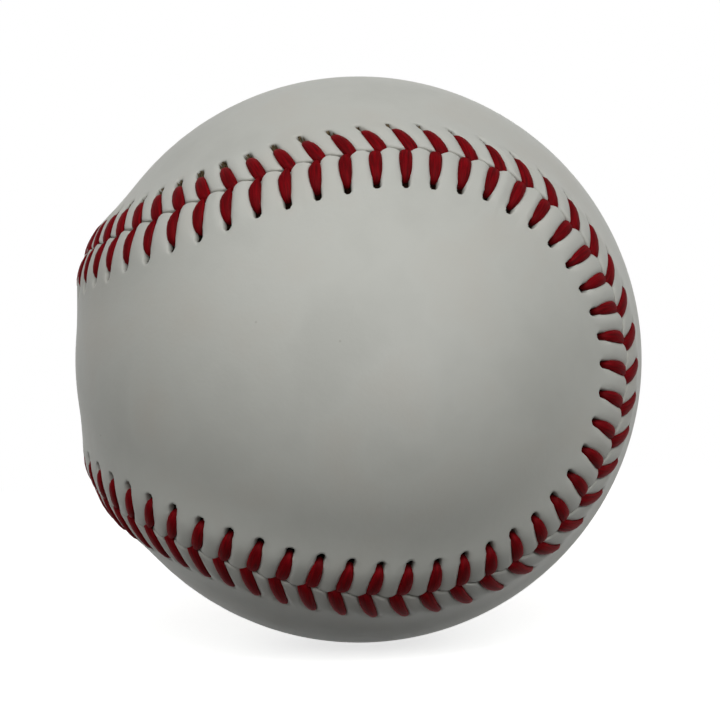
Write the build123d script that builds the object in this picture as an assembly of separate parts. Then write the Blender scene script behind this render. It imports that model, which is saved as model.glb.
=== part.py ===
"""Baseball: a cork and rubber pill, four windings, a two-piece leather cover and its double stitching.

Units are millimetres. The ball's centre is the origin. The front cover panel has its waist at -X and
its lobes at +Y and -Y, and the back panel has its waist at +X and its lobes at +Z and -Z.
"""

import math
import os
from bisect import bisect_right

from build123d import *

# Pill, from the middle out
CORE_DIAMETER = 20.6
SHELL_WALL = 4.0
GASKET_WIDTH = 2.0
JACKET_WALL = 3.2

# Windings and cover
FIRST_WINDING = 13.5
SECOND_WINDING = 1.75
THIRD_WINDING = 2.25
FINISH_WINDING = 0.5
CEMENT_FILM = 0.1
LEATHER = 1.3

# Seam line: the waist is measured over the surface, from seam to seam
WAIST_WIDTH = 27.0
LOBE_SWAY = 0.397

# Raised hem on each side of the seam
HEM_WIDTH = 8.5
HEM_RISE = 0.85
HEM_CROWN = 2.4
LIP_HEIGHT = 0.4
LIP_GAP = 0.3

# Double stitches: one arm on each panel, all pointing the same way round the seam
DOUBLE_STITCHES = 108
STITCH_REACH = 5.5
FRONT_TRAIL = 0.8
BACK_TRAIL = 1.5
DIVE_SPACING = 1.0
THREAD = 0.7
ARM_WIDTH = 1.6
ARM_THICKNESS = 0.6
TAIL = 1.5
THREAD_CLEARANCE = 0.05
HOLE_CLEARANCE = 0.1

# Where the sewing starts, in laps of the seam, and how far its pitch drifts on the way round
FIRST_STITCH = 0.9597
LOBE_DRIFT = 0.045
SIDE_DRIFT = 0.038

CORE_RADIUS = CORE_DIAMETER / 2
SHELL_RADIUS = CORE_RADIUS + SHELL_WALL
PILL_RADIUS = SHELL_RADIUS + JACKET_WALL
FIRST_RADIUS = PILL_RADIUS + FIRST_WINDING
SECOND_RADIUS = FIRST_RADIUS + SECOND_WINDING
THIRD_RADIUS = SECOND_RADIUS + THIRD_WINDING
FINISH_RADIUS = THIRD_RADIUS + FINISH_WINDING
CEMENT_RADIUS = FINISH_RADIUS + CEMENT_FILM
RADIUS = CEMENT_RADIUS + LEATHER

FRONT, BACK = 1, -1
TRAIL = {FRONT: FRONT_TRAIL, BACK: BACK_TRAIL}
SEAM_SAMPLES = 2880


def seam_direction(turn):
    """Unit vector from the ball's centre to the seam, for a turn of 0 to 4 pi once round it."""
    quarter = math.pi / 2
    polar = quarter - (quarter - WAIST_WIDTH / 2 / RADIUS) * math.cos(turn)
    around = turn / 2 + LOBE_SWAY * math.sin(2 * turn)
    across = math.sin(polar)
    return Vector(-math.cos(polar), across * math.sin(around), across * math.cos(around))


def measure_seam():
    """Running length of the seam line at even steps of its turn."""
    step = 4 * math.pi / SEAM_SAMPLES
    lengths = [0.0]
    here = seam_direction(0) * RADIUS
    for index in range(1, SEAM_SAMPLES + 1):
        there = seam_direction(index * step) * RADIUS
        lengths.append(lengths[-1] + (there - here).length)
        here = there
    return lengths


SEAM_LENGTHS = measure_seam()
SEAM_LENGTH = SEAM_LENGTHS[-1]
PITCH = SEAM_LENGTH / DOUBLE_STITCHES

# What the stitching needs: holes, slots between the lips and a channel under the hem
HOLE_RADIUS = THREAD / 2 + HOLE_CLEARANCE
SLOT_WIDTH = THREAD + 2 * THREAD_CLEARANCE
SLOT_LENGTH = DIVE_SPACING + SLOT_WIDTH
UNDER_RUN_DIP = (STITCH_REACH**2 + PITCH**2) / (8 * CEMENT_RADIUS)
CHANNEL = THREAD + 2 * THREAD_CLEARANCE + UNDER_RUN_DIP
UNDER_HEIGHT = UNDER_RUN_DIP + THREAD_CLEARANCE + THREAD / 2 - LEATHER


def seam_frame(distance):
    """Outward, along-seam and to-the-front directions at a length along the seam."""
    laps, rest = divmod(distance, SEAM_LENGTH)
    index = min(bisect_right(SEAM_LENGTHS, rest), SEAM_SAMPLES) - 1
    share = (rest - SEAM_LENGTHS[index]) / (SEAM_LENGTHS[index + 1] - SEAM_LENGTHS[index])
    turn = 4 * math.pi * (laps + (index + share) / SEAM_SAMPLES)
    outward = seam_direction(turn)
    along = (seam_direction(turn + 1e-4) - seam_direction(turn - 1e-4)).normalized()
    return outward, along, outward.cross(along)


def seam_point(distance, offset, height):
    """Point at an offset over the surface to the front of the seam and a height above it."""
    outward, _, front = seam_frame(distance)
    angle = offset / RADIUS
    return (outward * math.cos(angle) + front * math.sin(angle)) * (RADIUS + height)


def radial_plane(distance, offset):
    """Plane square to the ball's radius, with its x axis along the seam."""
    foot = seam_point(distance, offset, 0)
    outward = foot.normalized()
    along = seam_frame(distance)[1]
    return Plane(origin=foot, x_dir=along - outward * along.dot(outward), z_dir=outward)


def stitch_place(number):
    """Length along the seam of a double stitch. Stitches run against the seam's own direction."""
    lap = 2 * math.pi * (FIRST_STITCH - number / DOUBLE_STITCHES)
    drift = LOBE_DRIFT / 4 * math.sin(4 * lap) - SIDE_DRIFT / 2 * math.sin(2 * lap)
    return SEAM_LENGTH / (2 * math.pi) * (lap + drift)


def hole_place(number, side):
    """Length along the seam of a stitch hole."""
    return stitch_place(number) + TRAIL[side]


def dive_place(number, side):
    """Length along the seam where an arm drops between the two panels."""
    return stitch_place(number) + side * DIVE_SPACING / 2


def hem_height(offset):
    """Height of the raised leather at an offset from the seam."""
    return HEM_RISE * (1 - (offset / HEM_WIDTH) ** 3) ** 1.5


def hem_profile(side):
    """Section of a hem as offsets and heights, from the plain leather over the lip and back under."""
    crown = hem_height(HEM_CROWN)
    corners = [
        (HEM_WIDTH, 0),
        (STITCH_REACH, hem_height(STITCH_REACH)),
        (HEM_CROWN, crown),
        (LIP_GAP / 2, LIP_HEIGHT),
        (LIP_GAP / 2, CHANNEL - LEATHER),
        (STITCH_REACH + HOLE_RADIUS, CHANNEL - LEATHER),
        (HEM_WIDTH, -LEATHER),
    ]
    return [(side * offset, height) for offset, height in corners]


def hem_join(number, side):
    """Where the hem pieces of a stitch and the next one meet, half way from its slot to its hole."""
    middle = (stitch_place(number) + stitch_place(number + 1)) / 2
    near = seam_point(middle - PITCH / 2, side * STITCH_REACH, 0)
    far = seam_point(middle + PITCH / 2, side * STITCH_REACH, 0)
    squeeze = (far - near).length / PITCH
    return middle + (TRAIL[side] + HOLE_RADIUS / squeeze - SLOT_LENGTH / 2) / 2


def rim_arc(number, side, height):
    """Edge where one stitch's piece of hem leaves the plain round of the panel."""
    start, end = hem_join(number, side), hem_join(number - 1, side)
    places = (start, (start + end) / 2, end)
    return Edge.make_three_point_arc(*(seam_point(place, side * HEM_WIDTH, height) for place in places))


def stitch_cuts(number, side):
    """A stitch hole in one panel, and the slot that both panels leave for the dives."""
    depth = 4 * (LEATHER + HEM_RISE)
    hole = Box(2 * HOLE_RADIUS, 2 * HOLE_RADIUS, depth)
    slot = Box(SLOT_LENGTH, SLOT_WIDTH, depth)
    return [
        radial_plane(hole_place(number, side), side * STITCH_REACH) * hole,
        radial_plane(stitch_place(number), 0) * slot,
    ]


def hem_piece(number, side):
    """Open faces of one stitch's piece of hem, with its hole and its half of the slot."""
    profile = hem_profile(side)
    first = [seam_point(hem_join(number, side), *corner) for corner in profile]
    last = [seam_point(hem_join(number - 1, side), *corner) for corner in profile]
    rails = [Edge.make_line(a, b) for a, b in zip(first, last)]
    rails[0] = rim_arc(number, side, 0)
    rails[-1] = rim_arc(number, side, -LEATHER)
    skin = [Face.make_surface_from_curves(a, b) for a, b in zip(rails, rails[1:])]
    root = Face.make_surface_from_curves(rails[-1], rails[0])
    ends = [Face(Wire.make_polygon(corners)) for corners in (first, last)]
    piece = Solid(Shell(skin + [root] + ends))
    piece = piece.cut(*(cut for near in (-1, 0, 1) for cut in stitch_cuts(number + near, side)))

    def closed(face):
        """Whether a face only closes the piece against its neighbours or the panel's round."""
        if face.geom_type != GeomType.PLANE:
            return (face.center() - root.center()).length < 1e-3
        return any(abs((face.center() - end.center()).dot(end.normal_at())) < 1e-4 for end in ends)

    return [face for face in piece.faces() if not closed(face)]


def cover_panel(side):
    """One figure-eight of leather: an outer and an inner round, joined by the raised hem."""
    faces = [face for number in range(DOUBLE_STITCHES) for face in hem_piece(number, side)]
    lobes = (0, 1, 0) if side == FRONT else (0, 0, 1)
    poles = Plane(origin=(0, 0, 0), x_dir=(-side, 0, 0), z_dir=lobes)
    for radius, height in ((RADIUS, 0), (CEMENT_RADIUS, -LEATHER)):
        rim = Wire([rim_arc(number, side, height) for number in range(DOUBLE_STITCHES)])
        ball = Solid.make_sphere(radius, poles, -90, 90, 360)
        faces.append(ball.face().make_holes([rim]))
    return Solid(Shell(faces))


def thread_route(first_side):
    """Places, offsets, heights and sizes along one thread, over one panel and under the other."""
    crown = hem_height(HEM_CROWN)
    lip_slope = (crown - LIP_HEIGHT) / (HEM_CROWN - LIP_GAP / 2)
    round_lift = THREAD / 2 + THREAD_CLEARANCE
    dive_height = LIP_HEIGHT - lip_slope * LIP_GAP / 2 + round_lift
    reach_height = hem_height(STITCH_REACH) + round_lift
    crown_height = crown + ARM_THICKNESS / 2 + THREAD_CLEARANCE

    round_thread = (THREAD, THREAD)
    flat_thread = (ARM_WIDTH, ARM_THICKNESS)
    side = first_side
    route = [(hole_place(0, side) + TAIL, side * STITCH_REACH, UNDER_HEIGHT, *round_thread)]
    for number in range(DOUBLE_STITCHES):
        hole = hole_place(number, side)
        dive = dive_place(number, side)
        crown_place = dive + (hole - dive) * HEM_CROWN / STITCH_REACH
        route.append((hole, side * STITCH_REACH, UNDER_HEIGHT, *round_thread))
        route.append((hole, side * STITCH_REACH, reach_height, *round_thread))
        route.append((crown_place, side * HEM_CROWN, crown_height, *flat_thread))
        route.append((dive, 0, dive_height, *round_thread))
        route.append((dive, 0, UNDER_HEIGHT, *round_thread))
        side = -side
    route.append((dive, side * TAIL, UNDER_HEIGHT, *round_thread))
    return route


def thread_section(before, here, after, along, width, thickness):
    """Four corners of the thread where two runs meet, flat along the seam and mitred at the bend."""
    arriving = (here - before).normalized()
    leaving = (after - here).normalized()
    heading = (arriving + leaving).normalized()
    flat = (along - heading * along.dot(heading)).normalized() * (width / 2)
    thick = heading.cross(flat).normalized() * (thickness / 2 / heading.dot(arriving))
    return [here + flat, here + thick, here - flat, here - thick]


def stitch_thread(first_side):
    """One unbroken thread with two tucked ends."""
    route = thread_route(first_side)
    points = [seam_point(place, offset, height) for place, offset, height, _, _ in route]
    before = [points[0] * 2 - points[1]] + points[:-1]
    after = points[1:] + [points[-1] * 2 - points[-2]]
    sections = [
        thread_section(a, b, c, seam_frame(place)[1], width, thickness)
        for a, b, c, (place, _, _, width, thickness) in zip(before, points, after, route)
    ]
    faces = [Face(Wire.make_polygon(sections[0])), Face(Wire.make_polygon(sections[-1]))]
    for near, far in zip(sections, sections[1:]):
        for corner in range(4):
            edges = [Edge.make_line(end[corner - 1], end[corner]) for end in (near, far)]
            faces.append(Face.make_surface_from_curves(*edges))
    return Solid(Shell(faces))


def layer(inner_radius, outer_radius):
    """A round layer of the ball."""
    return Solid.make_sphere(outer_radius).cut(Solid.make_sphere(inner_radius))


def rubber_shell():
    """The black shell's two halves and the gasket between them."""
    whole = layer(CORE_RADIUS, SHELL_RADIUS)
    front_plane = Plane(origin=(-GASKET_WIDTH / 2, 0, 0), z_dir=(-1, 0, 0))
    back_plane = Plane(origin=(GASKET_WIDTH / 2, 0, 0), z_dir=(1, 0, 0))
    front = whole.split(front_plane, Keep.TOP)
    back = whole.split(back_plane, Keep.TOP)
    gasket = whole.split(front_plane, Keep.BOTTOM).split(back_plane, Keep.BOTTOM)
    return front, back, gasket


def build():
    """Every node of the ball by name."""
    shell_front, shell_back, gasket = rubber_shell()
    return {
        "cork_core": Solid.make_sphere(CORE_RADIUS),
        "rubber_shell_front": shell_front,
        "rubber_shell_back": shell_back,
        "shell_gasket": gasket,
        "pill_jacket": layer(SHELL_RADIUS, PILL_RADIUS),
        "first_winding": layer(PILL_RADIUS, FIRST_RADIUS),
        "second_winding": layer(FIRST_RADIUS, SECOND_RADIUS),
        "third_winding": layer(SECOND_RADIUS, THIRD_RADIUS),
        "finish_winding": layer(THIRD_RADIUS, FINISH_RADIUS),
        "cement_coat": layer(FINISH_RADIUS, CEMENT_RADIUS),
        "cover_panel_front": cover_panel(FRONT),
        "cover_panel_back": cover_panel(BACK),
        "stitch_thread_1": stitch_thread(FRONT),
        "stitch_thread_2": stitch_thread(BACK),
    }


def main():
    """Write one STEP file for each node."""
    os.makedirs("parts", exist_ok=True)
    for name, shape in build().items():
        shape.label = name
        export_step(shape, f"parts/{name}.step")


if __name__ == "__main__":
    main()
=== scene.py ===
"""Baseball: a puckered leather cover with red double stitching, dressed over the CAD frame.

The two cover panels and the two threads of the frame are replaced by finer ones that follow the same
seam line, and the pill, the windings and the cement keep their CAD shapes and get their own finishes.
Sizes are in millimetres up to the moment a mesh is placed, and Blender's own unit is the metre.
"""

from __future__ import annotations

import logging
import math
from dataclasses import dataclass, field
from enum import Enum
from typing import Any

import bpy
import numpy as np
from mathutils import Matrix, Vector

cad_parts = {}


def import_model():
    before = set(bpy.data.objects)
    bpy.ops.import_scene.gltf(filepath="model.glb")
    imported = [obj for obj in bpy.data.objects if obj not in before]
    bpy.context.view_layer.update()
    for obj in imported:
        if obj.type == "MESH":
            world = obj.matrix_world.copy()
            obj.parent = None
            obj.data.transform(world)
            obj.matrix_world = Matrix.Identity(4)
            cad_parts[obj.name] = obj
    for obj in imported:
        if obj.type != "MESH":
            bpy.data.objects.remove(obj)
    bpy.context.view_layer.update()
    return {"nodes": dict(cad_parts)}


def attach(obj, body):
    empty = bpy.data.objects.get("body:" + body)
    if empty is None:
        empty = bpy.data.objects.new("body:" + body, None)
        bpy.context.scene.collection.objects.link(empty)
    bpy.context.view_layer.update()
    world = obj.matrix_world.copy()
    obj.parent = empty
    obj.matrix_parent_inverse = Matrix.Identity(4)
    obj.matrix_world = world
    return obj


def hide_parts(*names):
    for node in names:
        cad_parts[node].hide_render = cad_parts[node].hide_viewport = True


LOG = logging.getLogger("baseball")
MM = 0.001
IMAGE_SIDE = 720
# Sockets of a Mix node for colours: the share, the colour under, the colour over it and the result
MIX_SHARE, MIX_UNDER, MIX_OVER, MIX_RESULT = 0, 6, 7, 2


class Side(Enum):
    """The cover panel that a hem or a stitch arm belongs to, with its sign across the seam."""

    FRONT = 1
    BACK = -1

    @property
    def other(self) -> Side:
        """The panel on the far side of the seam."""
        return Side(-self.value)


class Ply(Enum):
    """The two needles' threads, each with its CAD node and the panel where it starts."""

    FIRST = ("stitch_thread_1", Side.FRONT)
    SECOND = ("stitch_thread_2", Side.BACK)

    def __init__(self, node: str, start: Side) -> None:
        """Keep the node and the panel under their names."""
        self.node = node
        self.start = start


class Ray(Enum):
    """The kinds of ray that a lamp can be hidden from, each with Blender's switch for it."""

    CAMERA = "visible_camera"
    DIFFUSE = "visible_diffuse"
    GLOSSY = "visible_glossy"


def linear(code: str) -> tuple[float, float, float, float]:
    """Turn an sRGB hex colour into linear values.

    Args:
        code: The colour as "#RRGGBB".

    Returns:
        Red, green and blue as linear values, and an alpha of 1.
    """
    parts = [int(code[start : start + 2], 16) / 255 for start in (1, 3, 5)]
    red, green, blue = (
        part / 12.92 if part <= 0.04045 else ((part + 0.055) / 1.055) ** 2.4 for part in parts
    )
    return red, green, blue, 1.0


def ease(low: float, high: float, value: np.ndarray) -> np.ndarray:
    """Rise smoothly from 0 to 1 between two values.

    Args:
        low: Where the rise starts.
        high: Where the rise ends.
        value: What is measured.

    Returns:
        The eased share for each value.
    """
    share = np.clip((value - low) / (high - low), 0.0, 1.0)
    return share * share * (3 - 2 * share)


def rounded(value: np.ndarray, power: float) -> np.ndarray:
    """Rise from 0 to 1 as a rounded shoulder does.

    Args:
        value: How far up the shoulder, from 0 to 1.
        power: 2 for a quarter circle, and more for a squarer shoulder.

    Returns:
        The height of the shoulder, from 0 to 1.
    """
    return (1 - (1 - np.clip(value, 0.0, 1.0)) ** power) ** (1 / power)


def add_node(
    tree: bpy.types.NodeTree,
    kind: str,
    settings: dict[str | int, Any] | None = None,
    links: dict[str | int, bpy.types.NodeSocket] | None = None,
) -> bpy.types.Node:
    """Add a node with its settings and links.

    Args:
        tree: The material's or the world's nodes.
        kind: The node's type.
        settings: Properties, input values and, for a ramp, its "stops" of place and colour.
        links: The sockets that feed its inputs.

    Returns:
        The new node.
    """
    node = tree.nodes.new(kind)
    for key, value in (settings or {}).items():
        if key == "stops":
            ramp = node.color_ramp.elements
            while len(ramp) < len(value):
                ramp.new(1.0)
            for stop, (place, colour) in zip(ramp, value):
                stop.position, stop.color = place, colour
        elif isinstance(key, str) and hasattr(node, key):
            setattr(node, key, value)
        else:
            node.inputs[key].default_value = value
    for key, socket in (links or {}).items():
        tree.links.new(socket, node.inputs[key])
    return node


def new_tree(name: str) -> tuple[bpy.types.Material, bpy.types.NodeTree]:
    """Start a material with no nodes.

    Args:
        name: The material's name.

    Returns:
        The material and its empty tree.
    """
    material = bpy.data.materials.new(name)
    material.use_nodes = True
    material.node_tree.nodes.clear()
    return material, material.node_tree


def wear(piece: bpy.types.Object, material: bpy.types.Material) -> None:
    """Give a piece one material all over."""
    piece.data.materials.clear()
    piece.data.materials.append(material)


def close_mesh(merge: float) -> None:
    """Merge the doubles of the active piece, point its faces outwards and smooth them.

    Args:
        merge: How near to each other vertices are merged, in millimetres.
    """
    bpy.ops.object.mode_set(mode="EDIT")
    bpy.ops.mesh.select_all(action="SELECT")
    bpy.ops.mesh.remove_doubles(threshold=merge * MM)
    bpy.ops.mesh.normals_make_consistent(inside=False)
    bpy.ops.object.mode_set(mode="OBJECT")
    bpy.ops.object.shade_smooth()


@dataclass(frozen=True)
class CoverLeather:
    """Alum-tawed leather, rubbed smooth: chalky off-white with fine pores and a low soft sheen."""

    name: str = "alum_tawed_leather"
    colour: str = "#C9CAC3"
    shade: str = "#C4C5BE"
    warm: str = "#C8C7BF"
    # The colour of the specks, and of the dirt and painted shade along the seam's crease
    dirt_and_crease_shade: str = "#9C998E"
    # Painted shade in and around the stitch holes
    hole: str = "#3A2F24"
    roughness_low: float = 0.46
    roughness_high: float = 0.6
    pore: float = 0.55
    pore_depth: float = 0.05
    grain: float = 1.4
    grain_depth: float = 0.12
    cloud: float = 11.0
    speck: float = 0.2
    speck_spacing: float = 7.0
    speck_strength: float = 0.6

    def material(self) -> bpy.types.Material:
        """Make the leather.

        Returns:
            The material, which reads the panel's "hole" and "crease" attributes: painted shade in the holes,
            and dirt and painted shade along the seam's crease.
        """
        material, tree = new_tree(self.name)
        place = add_node(tree, "ShaderNodeTexCoord").outputs["Object"]
        # The hide's own clouding, about a centimetre across
        cloud = add_node(
            tree, "ShaderNodeTexNoise", {"Scale": 1 / (self.cloud * MM), "Detail": 3.0}, {"Vector": place}
        )
        tone = add_node(
            tree,
            "ShaderNodeValToRGB",
            {"stops": ((0.3, linear(self.warm)), (0.5, linear(self.colour)), (0.68, linear(self.shade)))},
            {"Fac": cloud.outputs[0]},
        )
        # A few specks from handling, each under half a millimetre across
        spots = add_node(
            tree, "ShaderNodeTexVoronoi", {"Scale": 1 / (self.speck_spacing * MM)}, {"Vector": place}
        )
        speck = add_node(
            tree,
            "ShaderNodeMapRange",
            {"From Min": self.speck / self.speck_spacing, "From Max": 0.0, "To Max": self.speck_strength},
            {"Value": spots.outputs["Distance"]},
        )
        crease = add_node(tree, "ShaderNodeAttribute", {"attribute_name": "crease"}).outputs["Fac"]
        hole = add_node(tree, "ShaderNodeAttribute", {"attribute_name": "hole"}).outputs["Fac"]
        # The specks, the dirt and painted shade along the seam's lip, and the painted shade of the holes lie
        # over the hide in turn
        skin = tone.outputs["Color"]
        for share, colour in ((speck.outputs[0], self.dirt_and_crease_shade), (crease, self.dirt_and_crease_shade), (hole, self.hole)):
            layer = add_node(
                tree,
                "ShaderNodeMix",
                {"data_type": "RGBA", MIX_OVER: linear(colour)},
                {MIX_SHARE: share, MIX_UNDER: skin},
            )
            skin = layer.outputs[MIX_RESULT]
        # Pores are 0.1 mm on the real hide and drawn about 0.5 mm, the finest that shows
        pores = add_node(
            tree, "ShaderNodeTexVoronoi", {"Scale": 1 / (self.pore * MM)}, {"Vector": place}
        )
        grain = add_node(
            tree,
            "ShaderNodeTexNoise",
            {"Scale": 1 / (self.grain * MM), "Detail": 4.0, "Roughness": 0.6},
            {"Vector": place},
        )
        polish = add_node(
            tree,
            "ShaderNodeMapRange",
            {"To Min": self.roughness_low, "To Max": self.roughness_high},
            {"Value": grain.outputs[0]},
        )
        pitted = add_node(
            tree,
            "ShaderNodeBump",
            {"Strength": 0.12, "Distance": self.pore_depth * MM},
            {"Height": pores.outputs["Distance"]},
        )
        pebbled = add_node(
            tree,
            "ShaderNodeBump",
            {"Strength": 0.22, "Distance": self.grain_depth * MM},
            {"Height": grain.outputs[0], "Normal": pitted.outputs[0]},
        )
        shader = add_node(
            tree,
            "ShaderNodeBsdfPrincipled",
            {"IOR": 1.45, "Specular IOR Level": 0.4, "Sheen Weight": 0.05, "Sheen Roughness": 0.4},
            {"Base Color": skin, "Roughness": polish.outputs[0], "Normal": pebbled.outputs[0]},
        )
        add_node(tree, "ShaderNodeOutputMaterial", None, {"Surface": shader.outputs[0]})
        return material


@dataclass(frozen=True)
class PunchedEdge:
    """Raw leather inside a punched hole: loose fibres with no shine, in dark tones by default that are
    painted shade for the depth of the hole.
    """

    name: str = "punched_leather_painted_shade"
    # Dark tones: painted shade for the depth of the hole
    colour: str = "#24150E"
    shade: str = "#0B0604"
    fibre: float = 0.3
    fray: float = 0.1

    def material(self) -> bpy.types.Material:
        """Make the raw edge.

        Returns:
            The material, mottled at the size of its fibres.
        """
        material, tree = new_tree(self.name)
        place = add_node(tree, "ShaderNodeTexCoord").outputs["Object"]
        fibres = add_node(tree, "ShaderNodeTexNoise", {"Scale": 1 / (self.fibre * MM)}, {"Vector": place})
        tone = add_node(
            tree,
            "ShaderNodeValToRGB",
            {"stops": ((0.35, linear(self.shade)), (0.65, linear(self.colour)))},
            {"Fac": fibres.outputs[0]},
        )
        frayed = add_node(
            tree,
            "ShaderNodeBump",
            {"Strength": 0.5, "Distance": self.fray * MM},
            {"Height": fibres.outputs[0]},
        )
        shader = add_node(
            tree,
            "ShaderNodeBsdfPrincipled",
            {"Roughness": 1.0, "Specular IOR Level": 0.0},
            {"Base Color": tone.outputs["Color"], "Normal": frayed.outputs[0]},
        )
        add_node(tree, "ShaderNodeOutputMaterial", None, {"Surface": shader.outputs[0]})
        return material


@dataclass(frozen=True)
class WaxedThread:
    """Waxed red cotton thread pulled flat: deep red strands with a faint wax shine along them."""

    name: str = "waxed_cotton_thread"
    colour: str = "#82040F"
    shade: str = "#570308"
    roughness: float = 0.6
    strand: float = 0.22
    strand_draw: float = 0.09
    strand_depth: float = 0.08
    layer: float = 2.0
    twist: float = 0.18

    def material(self) -> bpy.types.Material:
        """Make the thread.

        Returns:
            The material, which reads the thread's "lay" attribute: across, along and up, in millimetres.
        """
        material, tree = new_tree(self.name)
        lay = add_node(tree, "ShaderNodeAttribute", {"attribute_name": "lay"}).outputs["Vector"]
        # Strands are 0.1 mm on the real thread and drawn about 0.2 mm, the finest that shows. They run
        # long along the arm, and change from layer to layer
        spacing = (1 / self.strand, self.strand_draw / self.strand, 1 / self.layer)
        turned = add_node(
            tree,
            "ShaderNodeMapping",
            {"Rotation": (0.0, 0.0, self.twist), "Scale": spacing},
            {"Vector": lay},
        )
        strands = add_node(
            tree,
            "ShaderNodeTexNoise",
            {"Scale": 1.0, "Detail": 3.0, "Roughness": 0.55},
            {"Vector": turned.outputs[0]},
        )
        tone = add_node(
            tree,
            "ShaderNodeValToRGB",
            {"stops": ((0.34, linear(self.shade)), (0.66, linear(self.colour)))},
            {"Fac": strands.outputs[0]},
        )
        ridged = add_node(
            tree,
            "ShaderNodeBump",
            {"Strength": 0.5, "Distance": self.strand_depth * MM},
            {"Height": strands.outputs[0]},
        )
        shader = add_node(
            tree,
            "ShaderNodeBsdfPrincipled",
            {"Roughness": self.roughness, "IOR": 1.45, "Specular IOR Level": 0.06},
            {"Base Color": tone.outputs["Color"], "Normal": ridged.outputs[0]},
        )
        add_node(tree, "ShaderNodeOutputMaterial", None, {"Surface": shader.outputs[0]})
        return material


@dataclass(frozen=True)
class WoundYarn:
    """Yarn wound tight in crossing turns: matt, with soft ridges one yarn apart and painted shade in the
    grooves between them.
    """

    name: str
    colour: str
    shade: str
    yarn: float
    windings: tuple[tuple[float, float, float], ...] = ((0.3, 0.5, 0.2), (1.2, -0.6, 0.9))
    patch: float = 9.0
    ridge_depth: float = 0.4

    def material(self) -> bpy.types.Material:
        """Make the yarn.

        Returns:
            The material, with two ways of winding that change places over the ball.
        """
        material, tree = new_tree(self.name)
        place = add_node(tree, "ShaderNodeTexCoord").outputs["Object"]
        turns = []
        for turn in self.windings:
            turned = add_node(tree, "ShaderNodeMapping", {"Rotation": turn}, {"Vector": place})
            # At a scale of 1 the wave repeats every pi / 10, so this puts the ridges one yarn apart
            turns.append(
                add_node(
                    tree,
                    "ShaderNodeTexWave",
                    {"Scale": math.pi / (10 * self.yarn * MM), "Distortion": 1.5, "Detail": 2.0},
                    {"Vector": turned.outputs[0]},
                )
            )
        patch = add_node(
            tree, "ShaderNodeTexNoise", {"Scale": 1 / (self.patch * MM), "Detail": 1.0}, {"Vector": place}
        )
        choice = add_node(
            tree, "ShaderNodeMapRange", {"From Min": 0.46, "From Max": 0.54}, {"Value": patch.outputs[0]}
        )
        ridge = add_node(
            tree,
            "ShaderNodeMix",
            {"data_type": "FLOAT"},
            {0: choice.outputs[0], 2: turns[0].outputs["Fac"], 3: turns[1].outputs["Fac"]},
        )
        # The colour follows the ridges, so the grooves between the yarns are darker: painted shade
        tone = add_node(
            tree,
            "ShaderNodeValToRGB",
            {"stops": ((0.1, linear(self.shade)), (0.8, linear(self.colour)))},
            {"Fac": ridge.outputs[0]},
        )
        relief = add_node(
            tree,
            "ShaderNodeBump",
            {"Strength": 0.6, "Distance": self.ridge_depth * MM},
            {"Height": ridge.outputs[0]},
        )
        shader = add_node(
            tree,
            "ShaderNodeBsdfPrincipled",
            {"Roughness": 0.9, "Specular IOR Level": 0.2, "Sheen Weight": 0.3, "Sheen Roughness": 0.6},
            {"Base Color": tone.outputs["Color"], "Normal": relief.outputs[0]},
        )
        add_node(tree, "ShaderNodeOutputMaterial", None, {"Surface": shader.outputs[0]})
        return material


@dataclass(frozen=True)
class GrainedCompound:
    """A pressed, moulded or brushed-on compound: two tones of grit and a matt, finely uneven skin."""

    name: str
    colour: str
    shade: str
    grit: float
    roughness: float
    relief: float
    fineness: float = 3.0

    def material(self) -> bpy.types.Material:
        """Make the compound.

        Returns:
            The material, grained at the size of its grit.
        """
        material, tree = new_tree(self.name)
        place = add_node(tree, "ShaderNodeTexCoord").outputs["Object"]
        grit = add_node(tree, "ShaderNodeTexVoronoi", {"Scale": 1 / (self.grit * MM)}, {"Vector": place})
        fine = add_node(
            tree,
            "ShaderNodeTexNoise",
            {"Scale": self.fineness / (self.grit * MM), "Detail": 4.0},
            {"Vector": place},
        )
        tone = add_node(
            tree,
            "ShaderNodeValToRGB",
            {"stops": ((0.2, linear(self.shade)), (0.8, linear(self.colour)))},
            {"Fac": grit.outputs["Color"]},
        )
        uneven = add_node(
            tree,
            "ShaderNodeBump",
            {"Strength": 0.4, "Distance": self.relief * MM},
            {"Height": fine.outputs[0]},
        )
        shader = add_node(
            tree,
            "ShaderNodeBsdfPrincipled",
            {"Roughness": self.roughness, "Specular IOR Level": 0.35},
            {"Base Color": tone.outputs["Color"], "Normal": uneven.outputs[0]},
        )
        add_node(tree, "ShaderNodeOutputMaterial", None, {"Surface": shader.outputs[0]})
        return material


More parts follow.
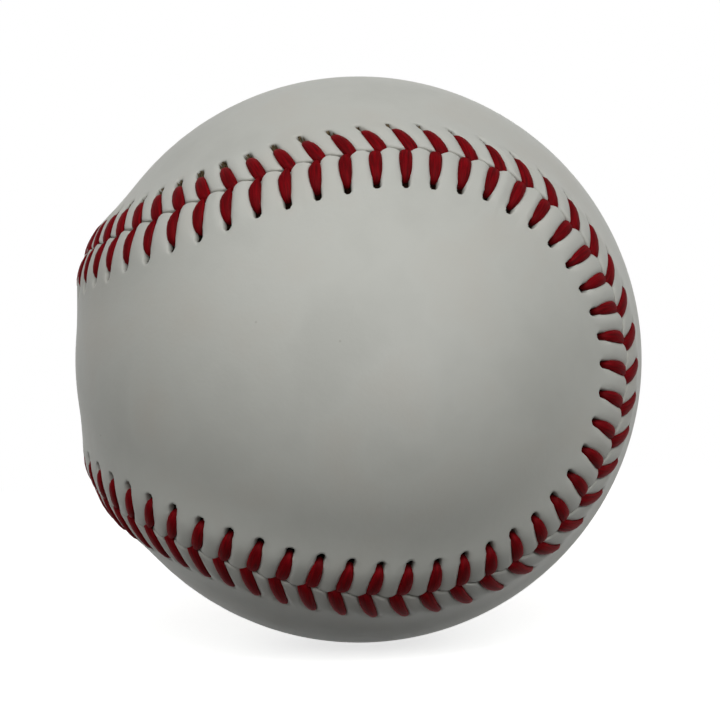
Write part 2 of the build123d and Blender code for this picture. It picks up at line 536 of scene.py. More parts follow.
@dataclass
class SeamLine:
    """The ball's seam: a closed line on the round of the leather, and where the sewing falls along it."""

    radius: float = 36.9
    waist_width: float = 27.0
    lobe_sway: float = 0.397
    lobes: int = 4
    stitches: int = 108
    first_stitch: float = 0.9596
    lobe_drift: float = 0.028
    side_drift: float = 0.0395
    tip_draw: float = 0.024
    tip_power: int = 8
    bend_width: float = 5.3
    bend_spread: float = 0.35
    bend_lean: float = 0.7
    crease: float = 0.3
    crease_reach: float = 2.4
    samples: int = 28800
    turn_nudge: float = 1e-4
    nudge: float = 0.05

    def __post_init__(self) -> None:
        """Measure the line once."""
        self.turns = np.linspace(0, 4 * math.pi, self.samples + 1)
        points = self.direction(self.turns) * self.radius
        steps = np.linalg.norm(np.diff(points, axis=0), axis=1)
        self.lengths = np.concatenate(([0.0], np.cumsum(steps)))
        self.length = float(self.lengths[-1])
        self.pitch = self.length / self.stitches

    def direction(self, turn: np.ndarray) -> np.ndarray:
        """Give the unit vectors from the ball's centre to the seam.

        Args:
            turn: Turns along the line, which closes at 4 pi.

        Returns:
            One direction for each turn.
        """
        quarter = math.pi / 2
        swing = np.cos(turn)
        # The sewing draws the tips of the lobes in by about a millimetre
        swing = swing * (1 - self.tip_draw * swing**self.tip_power)
        polar = quarter - (quarter - self.waist_width / 2 / self.radius) * swing
        around = turn / 2 + self.lobe_sway * np.sin(2 * turn)
        across = np.sin(polar)
        return np.stack((-np.cos(polar), across * np.sin(around), across * np.cos(around)), axis=-1)

    def axes(self, length: np.ndarray) -> tuple[np.ndarray, np.ndarray]:
        """Give the directions of the seam at lengths along it.

        Args:
            length: Lengths along the seam.

        Returns:
            The outward directions and the directions over the surface towards the front panel.
        """
        turn = np.interp(np.mod(length, self.length), self.lengths, self.turns)
        outward = self.direction(turn)
        along = self.direction(turn + self.turn_nudge) - self.direction(turn - self.turn_nudge)
        along /= np.linalg.norm(along, axis=-1, keepdims=True)
        return outward, np.cross(outward, along)

    def point(self, length: np.ndarray, offset: np.ndarray, height: np.ndarray) -> np.ndarray:
        """Give points beside the seam.

        Args:
            length: Lengths along the seam.
            offset: Distances over the surface towards the front panel.
            height: Heights above the round of the leather.

        Returns:
            The points, in millimetres.
        """
        outward, front = self.axes(length)
        angle = np.asarray(offset)[..., None] / self.radius
        reach = self.radius + np.asarray(height)[..., None]
        return (outward * np.cos(angle) + front * np.sin(angle)) * reach

    def along(self, length: np.ndarray, offset: np.ndarray) -> np.ndarray:
        """Give how a point beside the seam moves for each millimetre along it.

        Args:
            length: Lengths along the seam.
            offset: Distances over the surface towards the front panel.

        Returns:
            Vectors along the surface, shorter inside a bend and longer outside it.
        """
        flat = np.zeros_like(offset)
        ahead = self.point(length + self.nudge, offset, flat)
        return (ahead - self.point(length - self.nudge, offset, flat)) / (2 * self.nudge)

    def place(self, number: np.ndarray) -> np.ndarray:
        """Give where stitches fall, as the drifting pitch of the sewing has them.

        Args:
            number: Stitch numbers, parts of a stitch included.

        Returns:
            Lengths along the seam, which fall as the numbers rise.
        """
        lap = 2 * math.pi * (self.first_stitch - number / self.stitches)
        # The pitch changes by these shares, in four waves and in two waves to a lap
        drift = self.lobe_drift / 4 * np.sin(4 * lap) - self.side_drift / 2 * np.sin(2 * lap)
        return self.length / (2 * math.pi) * (lap + drift)

    def spread(self, length: np.ndarray) -> np.ndarray:
        """Give how far the holes of the front panel move along the seam near the tips of the lobes.

        Inside a bend the holes are drawn apart and along, and outside it the other way.

        Args:
            length: Lengths along the seam.

        Returns:
            Lengths along the seam, which for the back panel are the other way.
        """
        tip = np.round(length / self.length * self.lobes)
        aside = (length - tip * self.length / self.lobes) / self.bend_width
        inside = np.where(np.mod(tip, 2) == 1, 1.0, -1.0)
        return inside * (self.bend_spread * aside + self.bend_lean) * np.exp(-(aside**2) / 2)

    def crease_shift(self, out: np.ndarray) -> np.ndarray:
        """Give how far the lips and the thread are drawn to the front at distances from the seam."""
        return self.crease * (1 - ease(0.0, self.crease_reach, np.abs(out)))

    def depth(self, length: np.ndarray, side: Side) -> np.ndarray:
        """Give how far it is from the seam to the middle line of a panel.

        Args:
            length: Lengths along the seam.
            side: The panel.

        Returns:
            Distances over the surface, square to the seam.
        """
        outward, front = self.axes(length)
        axis = 2 if side is Side.FRONT else 1
        return np.arctan2(np.abs(outward[..., axis]), np.abs(front[..., axis])) * self.radius


@dataclass(frozen=True)
class Station:
    """A ring along a stitch: distance out from the seam, height, climb in degrees, width and thickness."""

    out: float
    height: float
    climb: float
    width: float
    thickness: float


@dataclass
class ArmCourse:
    """How a stitch arm runs over one panel, from its hole to the place where it drops into the seam.

    The arm lies along the seam from its stitch by base + slope * out. Its outer end drifts in waves round
    the ball, as hand sewing does, and where the thread was pulled tightest its inner end narrows and hooks
    in to a neck. Its stations go from the hole to the far side of the drop.
    """

    seam: SeamLine
    side: Side
    base: float
    slope: float
    hole_half: float
    hole_length: float
    hole_out: float
    stations: tuple[Station, ...]
    # Where the painted shade round a hole ends, in the hole's own size
    hole_shade_reach: float = 1.12
    hole_sway: float = 0.0
    hole_waves: int = 4
    hole_peak: float = 0.0
    drift: float = 0.0
    drift_waves: int = 2
    drift_peak: float = 0.0
    stretch: float = 0.0
    stretch_waves: int = 2
    stretch_peak: float = 0.0
    hook: float = 0.0
    hook_length: float = 0.9
    neck: float = 1.0
    pinch_waves: int = 1
    pinch_peak: float = -29.0
    pinch_fade: tuple[float, float] = (-0.75, -0.5)
    reach: float = 5.0
    lean_end: float = 6.0
    over_height: float = 0.3

    def wave(self, waves: int, peak: float, number: np.ndarray) -> np.ndarray:
        """Give the height of waves round the ball at stitch numbers, from -1 to 1."""
        return np.cos(2 * math.pi * waves * (number - peak) / self.seam.stitches)

    def scale(self, number: np.ndarray) -> np.ndarray:
        """Give how far arms reach for their stations, to one end of their holes or the other."""
        return 1 + self.stretch * self.wave(self.stretch_waves, self.stretch_peak, number)

    def hole_width(self, number: np.ndarray) -> np.ndarray:
        """Give half the width of holes at stitch numbers, pulled open here and drawn to slits there."""
        return self.hole_half * (1 + self.hole_sway * self.wave(self.hole_waves, self.hole_peak, number))

    def lean(self, out: np.ndarray, number: np.ndarray) -> np.ndarray:
        """Give how far an arm lies along the seam from its stitch.

        Args:
            out: Distances from the seam.
            number: Stitch numbers.

        Returns:
            Lengths along the seam, against the way the stitches point.
        """
        near = np.clip(out, 0.0, self.lean_end)
        own = self.base + self.slope * near
        own = own + self.hook * self.pinch(number) * np.exp(-near / self.hook_length)
        bend = self.side.value * self.seam.spread(np.mod(self.seam.place(number), self.seam.length))
        drift = self.drift * self.wave(self.drift_waves, self.drift_peak, number)
        return own + bend * near / self.reach + drift * (near / self.reach) ** 2

    def pinch(self, number: np.ndarray) -> np.ndarray:
        """Give how tightly arms are pulled at the seam, from 0 to 1, by their stitch numbers."""
        return ease(*self.pinch_fade, self.wave(self.pinch_waves, self.pinch_peak, number))

    def width(self, out: np.ndarray) -> np.ndarray:
        """Give the arm's width at distances from the seam."""
        over = sorted((ring.out, ring.width) for ring in self.stations if ring.height > self.over_height)
        return np.interp(out, [place for place, _ in over], [width for _, width in over])


@dataclass
class FrontCourse(ArmCourse):
    """The arm over the front panel, nearly square to the seam and pulled in to a neck."""

    side: Side = Side.FRONT
    base: float = 0.27
    slope: float = 0.1
    hole_half: float = 0.5
    hole_length: float = 0.9
    hole_out: float = 4.85
    hook: float = -0.5
    neck: float = 0.45
    stations: tuple[Station, ...] = (
        Station(4.3, -0.5, 90, 0.7, 0.7),
        Station(4.38, 0.1, 88, 0.86, 0.7),
        Station(4.24, 0.46, 56, 1.06, 0.74),
        Station(3.84, 0.72, 24, 1.32, 0.78),
        Station(3.2, 0.88, 9, 1.54, 0.84),
        Station(2.45, 0.97, 2, 1.66, 0.86),
        Station(1.65, 1.0, 0, 1.7, 0.86),
        Station(0.95, 0.99, -5, 1.66, 0.82),
        Station(0.48, 0.94, -12, 1.54, 0.74),
        Station(0.14, 0.84, -28, 1.36, 0.64),
        Station(-0.12, 0.45, -70, 1.0, 0.6),
        Station(-0.15, -0.4, -90, 0.66, 0.66),
    )


@dataclass
class BackCourse(ArmCourse):
    """The arm over the back panel, which leans more, drifts along the seam and wanders in its hole."""

    side: Side = Side.BACK
    base: float = -0.62
    slope: float = 0.36
    hole_half: float = 0.37
    hole_length: float = 0.85
    hole_out: float = 4.25
    hole_shade_reach: float = 1.45
    hole_sway: float = 0.35
    hole_peak: float = 3.0
    drift: float = 0.86
    drift_peak: float = 23.0
    stretch: float = 0.16
    stretch_peak: float = 35.0
    stations: tuple[Station, ...] = (
        Station(4.3, -0.5, 90, 0.7, 0.7),
        Station(4.42, 0.1, 88, 0.8, 0.7),
        Station(4.32, 0.46, 56, 0.92, 0.74),
        Station(3.92, 0.72, 24, 1.22, 0.78),
        Station(3.3, 0.88, 9, 1.56, 0.84),
        Station(2.5, 0.99, 2, 1.74, 0.86),
        Station(1.6, 1.06, 0, 1.84, 0.84),
        Station(0.8, 1.06, -4, 1.84, 0.76),
        Station(0.25, 1.0, -16, 1.72, 0.66),
        Station(-0.1, 0.76, -55, 1.44, 0.56),
        Station(-0.22, 0.3, -80, 1.0, 0.56),
        Station(-0.15, -0.4, -90, 0.66, 0.66),
    )


@dataclass
class CoverPanel:
    """One figure-eight of leather, raised and puckered along its hem, with a hole for each stitch.

    Distances are from the seam. A pair of numbers is where a change starts and where it ends, and a power
    sets how square a rounded shape is.
    """

    node: str
    course: ArmCourse
    seam: SeamLine
    leather: float = 1.3
    channel: float = 0.95
    channel_end: tuple[float, float] = (6.4, 7.6)
    hem_rise: float = 1.25
    hem_reach: float = 5.6
    hem_power: float = 4.5
    hem_end: tuple[float, float] = (7.0, 11.5)
    even_from: tuple[float, float] = (7.5, 11.5)
    bed_depth: float = 0.65
    bed_share: float = 0.37
    bed_limit: float = 0.4
    bed_end: tuple[float, float] = (4.3, 5.9)
    pillow_power: float = 2.4
    lip: float = 0.92
    lip_notch: float = 0.5
    lip_roll: float = 0.5
    lip_power: float = 2.2
    lip_gap: float = 0.03
    scallop: float = 0.2
    scallop_reach: float = 2.4
    seam_step: float = 0.42
    step_skew: float = 0.7
    # Dirt and painted shade along the seam's lip: its share and how far it reaches
    crease_dirt_and_shade: float = 0.3
    crease_dirt_and_shade_reach: float = 0.3
    hole_floor: float = -0.25
    hole_power: float = 2.6
    hole_rim: tuple[float, float] = (0.82, 1.12)
    hole_slip: float = 0.12
    raw_from: float = 0.3
    uneven: float = 0.06
    turn_nudge: float = 0.01
    merge: float = 0.018
    phases: tuple[float, ...] = (0.055, 0.11, 0.155, 0.2, 0.26, 0.33, 0.41)
    hem_rows: tuple[float, ...] = (
        *(0.0, 0.04, 0.1, 0.18, 0.28, 0.42, 0.6, 0.82, 1.1, 1.45, 1.85, 2.3, 2.75, 3.15, 3.5, 3.8),
        *(4.0, 4.15, 4.3, 4.45, 4.65, 4.9, 5.08, 5.2, 5.3, 5.4, 5.5, 5.62, 5.75, 5.95),
        *(6.25, 6.7, 7.3, 8.1, 9.0),
    )
    plain_rows: tuple[float, ...] = (0.1, 0.2, 0.32, 0.44, 0.56, 0.68, 0.8, 0.9, 1.0)
    under_rows: tuple[float, ...] = (0.0, 3.0, 6.4, 7.6, 9.0)
    under_plain_rows: tuple[float, ...] = (0.3, 0.65, 1.0)
    seed: int = 7

    def __post_init__(self) -> None:
        """Lay out the columns of the panel's mesh, 16 to a stitch."""
        mirrored = [-phase for phase in reversed(self.phases)]
        phases = np.array([-0.5, *mirrored, 0.0, *self.phases])
        count = np.arange(self.seam.stitches)
        self.turn = (count[:, None] + phases).ravel()
        self.phase = np.tile(phases, self.seam.stitches)
        columns = len(self.turn)
        chance = np.random.RandomState(self.seed)
        self.swell = np.repeat(chance.uniform(-1, 1, self.seam.stitches), len(phases)) * self.uneven
        slips = chance.uniform(-self.hole_slip, self.hole_slip, self.seam.stitches)
        self.slip = np.repeat(slips, len(phases))
        step = self.seam.length / columns
        index = np.arange(columns)
        first = round(float(np.mean(self.seam.place(-self.turn) / step - index)) - 0.5)
        self.even = (index + first + 0.5) * step
        self.depth = self.seam.depth(self.even, self.course.side)

    def offsets(self, rows: tuple[float, ...], plain_rows: tuple[float, ...]) -> np.ndarray:
        """Give the distance from the seam of each vertex in a skin.

        Args:
            rows: Distances of the rows along the hem.
            plain_rows: Shares of the way from the last of them to the panel's middle line.

        Returns:
            One row of distances for each row of vertices.
        """
        hem = [np.full_like(self.depth, row) for row in rows]
        plain = [rows[-1] + (self.depth - rows[-1]) * share for share in plain_rows]
        return np.array(hem + plain)

    def places(self, offset: np.ndarray) -> np.ndarray:
        """Give the length along the seam of each vertex: with the stitches on the hem, and even beyond it.

        Args:
            offset: Distances from the seam.

        Returns:
            Lengths along the seam.
        """
        sewn = self.sewn(offset, self.turn)
        return sewn + (self.even - sewn) * ease(*self.even_from, offset)

    def sewn(self, offset: np.ndarray, turn: np.ndarray) -> np.ndarray:
        """Give the lengths along the seam of columns that follow the stitch arms."""
        return self.seam.place(-(turn + self.course.lean(offset, -turn) / self.seam.pitch))

    def relief(self, out: np.ndarray, place: np.ndarray) -> tuple[np.ndarray, ...]:
        """Shape the outer skin: the raised hem, the beds of the arms, the rolled lip and the holes.

        Args:
            out: Distances from the seam.
            place: Lengths along the seam.

        Returns:
            The heights, how far the edge moves out from the seam, and the hole and crease masks: painted
            shade in the holes, and dirt and painted shade along the crease.
        """
        sign = self.course.side.value
        pitch = self.sewn(out, self.turn + self.turn_nudge) - self.sewn(out, self.turn - self.turn_nudge)
        pitch /= 2 * self.turn_nudge
        squeeze = np.linalg.norm(self.seam.along(place, sign * out), axis=-1)
        aside = np.abs(self.phase) * pitch * squeeze
        half = 0.5 * pitch * squeeze
        bed = self.bed_share * self.course.width(out / self.course.scale(-self.turn))
        bed = np.minimum(bed, self.bed_limit * half)

        top = self.hem_rise * (1 + self.swell) / (1 + (out / self.hem_reach) ** self.hem_power)
        top *= 1 - ease(*self.hem_end, out)
        pillow = rounded((aside - bed) / (half - bed), self.pillow_power)
        pressed = self.bed_depth * (1 - ease(*self.bed_end, out))
        height = top - pressed * (1 - pillow)

        lip = self.lip - self.lip_notch * (1 - pillow)
        height = lip + (height - lip) * rounded(out / self.lip_roll, self.lip_power)
        drawn = self.scallop * np.exp(-((aside / (2 * bed)) ** 2))
        # The two lips meet in a line that steps towards the back panel ahead of each stitch
        ahead = np.mod(-(self.phase + self.course.lean(out, -self.turn) / self.seam.pitch), 1.0)
        drawn = drawn - sign * self.seam_step * np.sin(math.pi * ahead**self.step_skew) ** 2
        drawn = drawn * (1 - ease(0.0, self.scallop_reach, out))

        # A hole is a rounded slot, and each slips a little along its arm
        slot = (aside / self.course.hole_width(-self.turn)) ** self.hole_power
        slot += (np.abs(out - self.course.hole_out - self.slip) / self.course.hole_length) ** self.hole_power
        slot = slot ** (1 / self.hole_power)
        height = height + (self.hole_floor - height) * (1 - ease(*self.hole_rim, slot))
        # The hole mask is painted shade in each hole and a little past its rim
        hole = 1 - ease(self.hole_rim[0], self.course.hole_shade_reach, slot)
        # Along the seam's lip the leather is darkened, for dirt and for painted shade in the crease
        crease = (1 - ease(0.0, self.crease_dirt_and_shade_reach, out)) * self.crease_dirt_and_shade
        return height, drawn, hole, crease

    def model(self) -> bpy.types.Object:
        """Model the panel from a flat grid that is wrapped on the ball and closed along its middle line.

        Returns:
            The panel's object.
        """
        sign = self.course.side.value
        outer = self.offsets(self.hem_rows, self.plain_rows)
        outer_place = self.places(outer)
        height, drawn, hole, crease = self.relief(outer, outer_place)
        inner = self.offsets(self.under_rows, self.under_plain_rows)[::-1]
        inner_place = self.places(inner)
        under = -self.leather + self.channel * (1 - ease(*self.channel_end, inner))
        edge = np.where(inner > 0, 0.0, drawn[0])

        offset = np.concatenate((inner + edge, outer + drawn)) + self.lip_gap / 2
        offset[0] -= self.lip_gap / 2
        offset[-1] -= self.lip_gap / 2
        offset = sign * offset + self.seam.crease_shift(np.concatenate((inner, outer)))
        place = np.concatenate((inner_place, outer_place))
        points = self.seam.point(place, offset, np.concatenate((under, height))) * MM
        blank = np.zeros_like(inner)
        masks = {"hole": np.concatenate((blank, hole)), "crease": np.concatenate((blank, crease))}

        rows, columns = place.shape
        bpy.ops.object.select_all(action="DESELECT")
        bpy.ops.mesh.primitive_grid_add(
            x_subdivisions=columns, y_subdivisions=rows - 1, size=self.seam.radius * MM
        )
        panel = bpy.context.object
        panel.name = panel.data.name = f"{self.node}_leather"
        wrapped = np.concatenate((points, points[:, :1]), axis=1)
        panel.data.vertices.foreach_set("co", wrapped.ravel())
        for name, mask in masks.items():
            closed = np.concatenate((mask, mask[:, :1]), axis=1)
            panel.data.attributes.new(name, "FLOAT", "POINT").data.foreach_set("value", closed.ravel())
        close_mesh(self.merge)
        return panel

    def pierced(self, mesh: bpy.types.Mesh) -> np.ndarray:
        """Tell which faces lie inside the stitch holes.

        Args:
            mesh: The panel's mesh, with its "hole" attribute.

        Returns:
            1 for a face in a hole, and 0 for the others.
        """
        mask = np.empty(len(mesh.vertices))
        mesh.attributes["hole"].data.foreach_get("value", mask)
        corner = np.empty(len(mesh.loops), dtype=np.int32)
        mesh.loops.foreach_get("vertex_index", corner)
        start = np.empty(len(mesh.polygons), dtype=np.int32)
        mesh.polygons.foreach_get("loop_start", start)
        return (np.minimum.reduceat(mask[corner], start) > self.raw_from).astype(np.int32)

    def dress(self, leather: bpy.types.Material, punched: bpy.types.Material) -> bpy.types.Object:
        """Build the panel, give it its two finishes and put it in the place of its CAD node.

        Args:
            leather: The finish of the hide.
            punched: The finish inside the holes.

        Returns:
            The finished panel.
        """
        panel = self.model()
        wear(panel, leather)
        panel.data.materials.append(punched)
        panel.data.polygons.foreach_set("material_index", self.pierced(panel.data))
        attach(panel, "root")
        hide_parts(self.node)
        return panel


@dataclass
class StitchThread:
    """One needle's thread: over one panel, down into the seam, under the other panel, and so on."""

    ply: Ply
    courses: dict[Side, ArmCourse]
    seam: SeamLine
    ring: int = 10
    under_run: float = 3.9
    arm_width: float = 1.72
    arm_room: float = 0.68
    neck_reach: float = 1.5
    lay_shift: float = 7.3
    merge: float = 0.005
    under: tuple[Station, ...] = (
        Station(-0.35, -0.74, 0, 0.7, 0.7),
        Station(-4.05, -0.74, 0, 0.7, 0.7),
        Station(-4.3, -0.5, 90, 0.7, 0.7),
    )

    def model_stitch(self, side: Side) -> bpy.types.Object:
        """Model one stitch laid out straight, by drawing a ring of edges along its stations.

        Args:
            side: The panel that its arm crosses.

        Returns:
            An object whose axes are across the arm, out from the seam and up, in millimetres.
        """
        stations = self.courses[side].stations + self.under
        last = stations[0]
        bpy.ops.object.select_all(action="DESELECT")
        # The ring starts one millimetre across, so resizing it gives the width and the thickness
        bpy.ops.mesh.primitive_circle_add(vertices=self.ring, radius=0.5, location=(0, 0, 0))
        stitch = bpy.context.object
        bpy.ops.object.mode_set(mode="EDIT")
        bpy.ops.mesh.select_all(action="SELECT")
        bpy.ops.transform.resize(value=(last.width, last.thickness, 1))
        bpy.ops.transform.translate(value=(0, last.out, last.height))
        for station in stations[1:]:
            shift = (0, station.out - last.out, station.height - last.height)
            bpy.ops.mesh.extrude_edges_move(TRANSFORM_OT_translate={"value": shift})
            centre = (0, station.out, station.height)
            wider, thicker = station.width / last.width, station.thickness / last.thickness
            bpy.ops.transform.resize(value=(wider, thicker, thicker), center_override=centre)
            climb = math.radians(station.climb - last.climb)
            bpy.ops.transform.rotate(value=climb, orient_axis="X", center_override=centre)
            last = station
        bpy.ops.object.mode_set(mode="OBJECT")
        bpy.ops.object.shade_smooth()
        return stitch

    def lay_stitch(self, straight: np.ndarray, number: int, side: Side) -> np.ndarray:
        """Lay a copy of the stitch over the hem.

        Args:
            straight: Vertices of the stitch as it was modelled.
            number: The stitch's number.
            side: The panel that its arm crosses.

        Returns:
            Its vertices on the ball, in metres.
        """
        across, out, up = straight.T
        own, other = self.courses[side], self.courses[side.other]
        under = np.clip(-out / self.under_run, 0.0, 1.0)
        out = out * np.where(out > 0, own.scale(number), other.scale(number + 1))
        # The run under the far panel ends on the ring where the next arm starts
        landing = other.lean(-out, number + 1) - self.seam.pitch
        lean = own.lean(out, number) * (1 - under) + landing * under
        place = self.seam.place(number - lean / self.seam.pitch)
        offset = side.value * out + self.seam.crease_shift(out)
        along = self.seam.along(place, offset)
        room = np.linalg.norm(along, axis=-1, keepdims=True)
        narrow = np.minimum(1.0, self.arm_room * self.seam.pitch * room / self.arm_width)
        necked = (1 - own.neck) * own.pinch(number) * (1 - ease(0.0, self.neck_reach, np.abs(out)))
        narrow = narrow * (1 - necked)[:, None]
        foot = self.seam.point(place, offset, up)
        return (foot + along / room * across[:, None] * narrow) * MM

    def model(self) -> bpy.types.Object:
        """Copy the stitch all the way round the seam, and join the copies into one thread.

        Returns:
            The thread's object.
        """
        patterns = {side: self.model_stitch(side) for side in Side}
        straight = {}
        for side, pattern in patterns.items():
            corners = np.empty(len(pattern.data.vertices) * 3)
            pattern.data.vertices.foreach_get("co", corners)
            straight[side] = corners.reshape(-1, 3)
        copies = []
        side = self.ply.start
        for number in range(self.seam.stitches):
            copy = bpy.data.objects.new(f"stitch_{number}", patterns[side].data.copy())
            bpy.context.collection.objects.link(copy)
            copy.data.vertices.foreach_set("co", self.lay_stitch(straight[side], number, side).ravel())
            lay = copy.data.attributes.new("lay", "FLOAT_VECTOR", "POINT")
            # Each stitch takes its strands from another place in the pattern
            lay.data.foreach_set("vector", (straight[side] + (number * self.lay_shift, 0, 0)).ravel())
            copies.append(copy)
            side = side.other
        for pattern in patterns.values():
            bpy.data.objects.remove(pattern)
        bpy.ops.object.select_all(action="DESELECT")
        for copy in copies:
            copy.select_set(True)
        bpy.context.view_layer.objects.active = copies[0]
        bpy.ops.object.join()
        thread = bpy.context.object
        thread.name = thread.data.name = f"{self.ply.node}_sewn"
        close_mesh(self.merge)
        return thread

    def dress(self, material: bpy.types.Material) -> bpy.types.Object:
        """Build the thread, give it its finish and put it in the place of its CAD node.

        Args:
            material: The waxed thread.

        Returns:
            The finished thread.
        """
        thread = self.model()
        wear(thread, material)
        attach(thread, "root")
        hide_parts(self.ply.node)
        return thread


@dataclass
class BallCore:
    """Everything under the cover, which keeps its CAD shapes: the pill, the four windings and the cement."""

    nodes: dict[str, bpy.types.Object]
    finishes: dict[str, WoundYarn | GrainedCompound] = field(
        default_factory=lambda: {
            # Pressed cork and rubber crumb: brown flecks
            "cork_core": GrainedCompound(
                "pressed_cork", "#B88A5C", "#7A5230", grit=1.6, roughness=0.85, relief=0.2
            ),
            # Moulded black rubber: dull, with a fine moulded skin
            "rubber_shell": GrainedCompound(
                "moulded_black_rubber", "#2A2A2B", "#1B1B1C", grit=1.2, roughness=0.65, relief=0.05
            ),
            # Moulded red rubber: brick red and dull
            "shell_gasket": GrainedCompound(
                "moulded_red_rubber_gasket", "#9A3A30", "#8A2F27", grit=1.2, roughness=0.6, relief=0.05
            ),
            "pill_jacket": GrainedCompound(
                "moulded_red_rubber", "#A8453A", "#96372D", grit=1.5, roughness=0.62, relief=0.05
            ),
            # Wool yarns: thick grey first, then thinner white and grey
            "first_winding": WoundYarn("grey_four_ply_wool", "#8E8B87", "#4D4B48", yarn=1.8),
            "second_winding": WoundYarn("white_three_ply_wool", "#DAD6CB", "#9B978C", yarn=1.4),
            "third_winding": WoundYarn("grey_three_ply_wool", "#94918C", "#55524E", yarn=1.4),
            # Fine cotton finishing yarn, drawn tight
            "finish_winding": WoundYarn("white_cotton_yarn", "#E4E0D4", "#B3AEA0", yarn=0.8),
            # Latex cement, brushed on and dried to a tacky skin
            "cement_coat": GrainedCompound(
                "dried_latex_cement", "#CDBE9A", "#BBAA83", grit=2.5, roughness=0.45, relief=0.08
            ),
        }
    )

    def dress(self) -> list[str]:
        """Give each carried-over node its finish.

        Returns:
            The names of the nodes that were dressed.
        """
        done = []
        for start, finish in self.finishes.items():
            material = finish.material()
            for name, node in self.nodes.items():
                if name.startswith(start):
                    wear(node, material)
                    done.append(name)
        return done


@dataclass(frozen=True)
class Lamp:
    """A soft lamp that faces the ball: the place of its middle, its width and height, and its watts."""

    name: str
    place: tuple[float, float, float]
    size: tuple[float, float]
    power: float
    hidden_from: tuple[Ray, ...] = ()

    def hang(self) -> bpy.types.Object:
        """Hang the lamp.

        Returns:
            The lamp's object.
        """
        bpy.ops.object.select_all(action="DESELECT")
        bpy.ops.object.light_add(type="AREA", location=self.place)
        lamp = bpy.context.object
        lamp.name = self.name
        lamp.data.shape = "RECTANGLE"
        lamp.data.size, lamp.data.size_y = self.size
        lamp.data.energy = self.power
        lamp.rotation_euler = (-Vector(self.place)).to_track_quat("-Z", "Y").to_euler()
        for ray in self.hidden_from:
            setattr(lamp, ray.value, False)
        return lamp


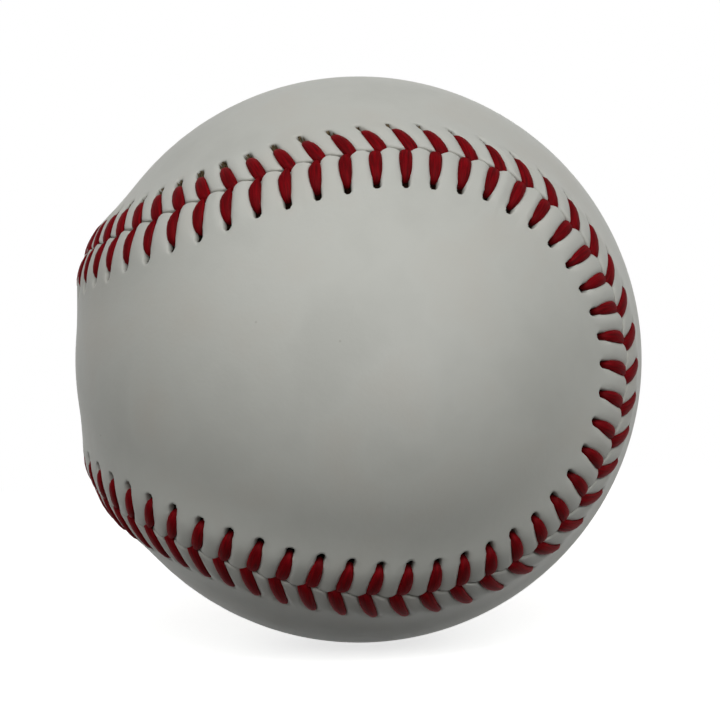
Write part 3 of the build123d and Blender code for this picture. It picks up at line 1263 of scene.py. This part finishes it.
@dataclass
class Studio:
    """A pale floor, a white surround, three soft lamps and the photograph's camera.

    The key is above and in front, the fill lights the far side, and the box gives the leather its sheen.
    The floor, the lamps and the nearest that the camera sees are measured in metres.
    """

    ball_radius: float
    distance: float = 387.5
    turn: tuple[float, float, float] = (4.23, -1.73, -5.6)
    focal_pixels: float = 2960.0
    centre_pixel: tuple[float, float] = (358.5, 359.5)
    sensor_width: float = 36.0
    nearest: float = 0.01
    ambient: float = 0.075
    white: str = "#FFFFFF"
    floor_size: float = 6.0
    floor_seen: str = "#F4F4F2"
    floor_unseen: str = "#3C3C3B"
    floor_glow: float = 0.72
    floor_fade: tuple[float, float] = (0.09, 0.2)
    lamps: tuple[Lamp, ...] = (
        Lamp("soft_key", (0.13, -0.83, 0.73), (3.4, 0.7), 19.0),
        Lamp("back_fill", (0.0, 1.0, 0.13), (1.2, 0.3), 5.0, (Ray.CAMERA, Ray.GLOSSY)),
        Lamp("sheen_box", (0.52, -1.0, 0.03), (0.5, 0.12), 5.5, (Ray.CAMERA, Ray.DIFFUSE)),
    )

    def lay_floor(self) -> bpy.types.Object:
        """Lay the floor: white to the eye with the ball's shadow on it, and grey to the light.

        Returns:
            The floor.
        """
        bpy.ops.object.select_all(action="DESELECT")
        bpy.ops.mesh.primitive_plane_add(size=self.floor_size, location=(0, 0, -self.ball_radius * MM))
        floor = bpy.context.object
        floor.name = "floor"
        material, tree = new_tree("pale_floor")
        seen = self.seen_directly(tree)
        pale = add_node(tree, "ShaderNodeBsdfDiffuse", {"Color": linear(self.floor_seen)})
        lift = add_node(
            tree, "ShaderNodeEmission", {"Color": linear(self.white), "Strength": self.floor_glow}
        )
        near = add_node(tree, "ShaderNodeAddShader", None, {0: pale.outputs[0], 1: lift.outputs[0]})
        # Beyond the ball's shadow the floor fades into the white surround
        place = add_node(tree, "ShaderNodeTexCoord").outputs["Object"]
        distance = add_node(tree, "ShaderNodeVectorMath", {"operation": "LENGTH"}, {0: place})
        start, end = self.floor_fade
        fade = add_node(
            tree,
            "ShaderNodeMapRange",
            {"From Min": start, "From Max": end},
            {"Value": distance.outputs["Value"]},
        )
        white = add_node(tree, "ShaderNodeEmission", {"Color": linear(self.white), "Strength": 1.0})
        shown = add_node(
            tree, "ShaderNodeMixShader", None, {0: fade.outputs[0], 1: near.outputs[0], 2: white.outputs[0]}
        )
        quiet = add_node(tree, "ShaderNodeBsdfDiffuse", {"Color": linear(self.floor_unseen)})
        both = add_node(
            tree, "ShaderNodeMixShader", None, {0: seen, 1: quiet.outputs[0], 2: shown.outputs[0]}
        )
        add_node(tree, "ShaderNodeOutputMaterial", None, {"Surface": both.outputs[0]})
        wear(floor, material)
        return floor

    def seen_directly(self, tree: bpy.types.NodeTree) -> bpy.types.NodeSocket:
        """Tell what the camera sees, straight, mirrored or through glass, from what only lights the ball.

        Args:
            tree: The floor's or the world's nodes.

        Returns:
            A socket that is 1 for what is seen.
        """
        path = add_node(tree, "ShaderNodeLightPath")
        seen = path.outputs["Is Camera Ray"]
        for ray in ("Is Glossy Ray", "Is Transmission Ray"):
            either = add_node(
                tree, "ShaderNodeMath", {"operation": "MAXIMUM"}, {0: seen, 1: path.outputs[ray]}
            )
            seen = either.outputs[0]
        return seen

    def surround(self) -> None:
        """Surround the ball with white for the eye and a low even light."""
        world = bpy.data.worlds.new("white_surround")
        world.use_nodes = True
        tree = world.node_tree
        tree.nodes.clear()
        seen = self.seen_directly(tree)
        level = add_node(tree, "ShaderNodeMapRange", {"To Min": self.ambient, "To Max": 1.0}, {"Value": seen})
        white = add_node(
            tree, "ShaderNodeBackground", {"Color": linear(self.white)}, {"Strength": level.outputs[0]}
        )
        add_node(tree, "ShaderNodeOutputWorld", None, {"Surface": white.outputs[0]})
        bpy.context.scene.world = world

    def stand_camera(self) -> None:
        """Stand the camera where the photograph was taken from."""
        spin = Vector([math.radians(angle) for angle in self.turn])
        seen = Matrix.Rotation(spin.length, 3, spin.normalized())
        right, into, up = (row.copy() for row in seen)
        bpy.ops.object.select_all(action="DESELECT")
        bpy.ops.object.camera_add()
        camera = bpy.context.object
        place = Matrix((right, up, -into)).transposed().to_4x4()
        place.translation = -into * self.distance * MM
        camera.matrix_world = place
        camera.data.sensor_width = self.sensor_width
        camera.data.lens = self.focal_pixels / IMAGE_SIDE * self.sensor_width
        camera.data.shift_x = (IMAGE_SIDE / 2 - self.centre_pixel[0]) / IMAGE_SIDE
        camera.data.shift_y = (self.centre_pixel[1] - IMAGE_SIDE / 2) / IMAGE_SIDE
        camera.data.clip_start = self.nearest
        bpy.context.scene.camera = camera

    def set_up(self) -> None:
        """Set up the floor, the surround, the lamps, the camera and the plain view transform."""
        self.lay_floor()
        self.surround()
        for lamp in self.lamps:
            lamp.hang()
        self.stand_camera()
        bpy.context.scene.view_settings.view_transform = "Standard"


def main() -> None:
    """Build the ball's looks in order and report each piece."""
    logging.basicConfig(level=logging.INFO, format="%(name)s: %(message)s")
    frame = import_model()
    seam = SeamLine()
    Studio(seam.radius).set_up()
    LOG.info("studio is set up")

    courses = {course.side: course for course in (FrontCourse(seam), BackCourse(seam))}
    leather = CoverLeather().material()
    # The front panel's holes are painted dark, painted shade for their depth, and the holes of the back
    # panel, where the light reaches in, are painted paler
    edges = {Side.FRONT: PunchedEdge(), Side.BACK: PunchedEdge("pale_punched_leather", "#75684F", "#3B3024")}
    for node, side in (("cover_panel_front", Side.FRONT), ("cover_panel_back", Side.BACK)):
        panel = CoverPanel(node, courses[side], seam).dress(leather, edges[side].material())
        LOG.info("%s has %d faces", panel.name, len(panel.data.polygons))
    waxed = WaxedThread().material()
    for ply in Ply:
        thread = StitchThread(ply, courses, seam).dress(waxed)
        LOG.info("%s has %d faces", thread.name, len(thread.data.polygons))
    for name in BallCore(frame["nodes"]).dress():
        LOG.info("%s keeps its CAD shape", name)


if __name__ == "__main__":
    main()
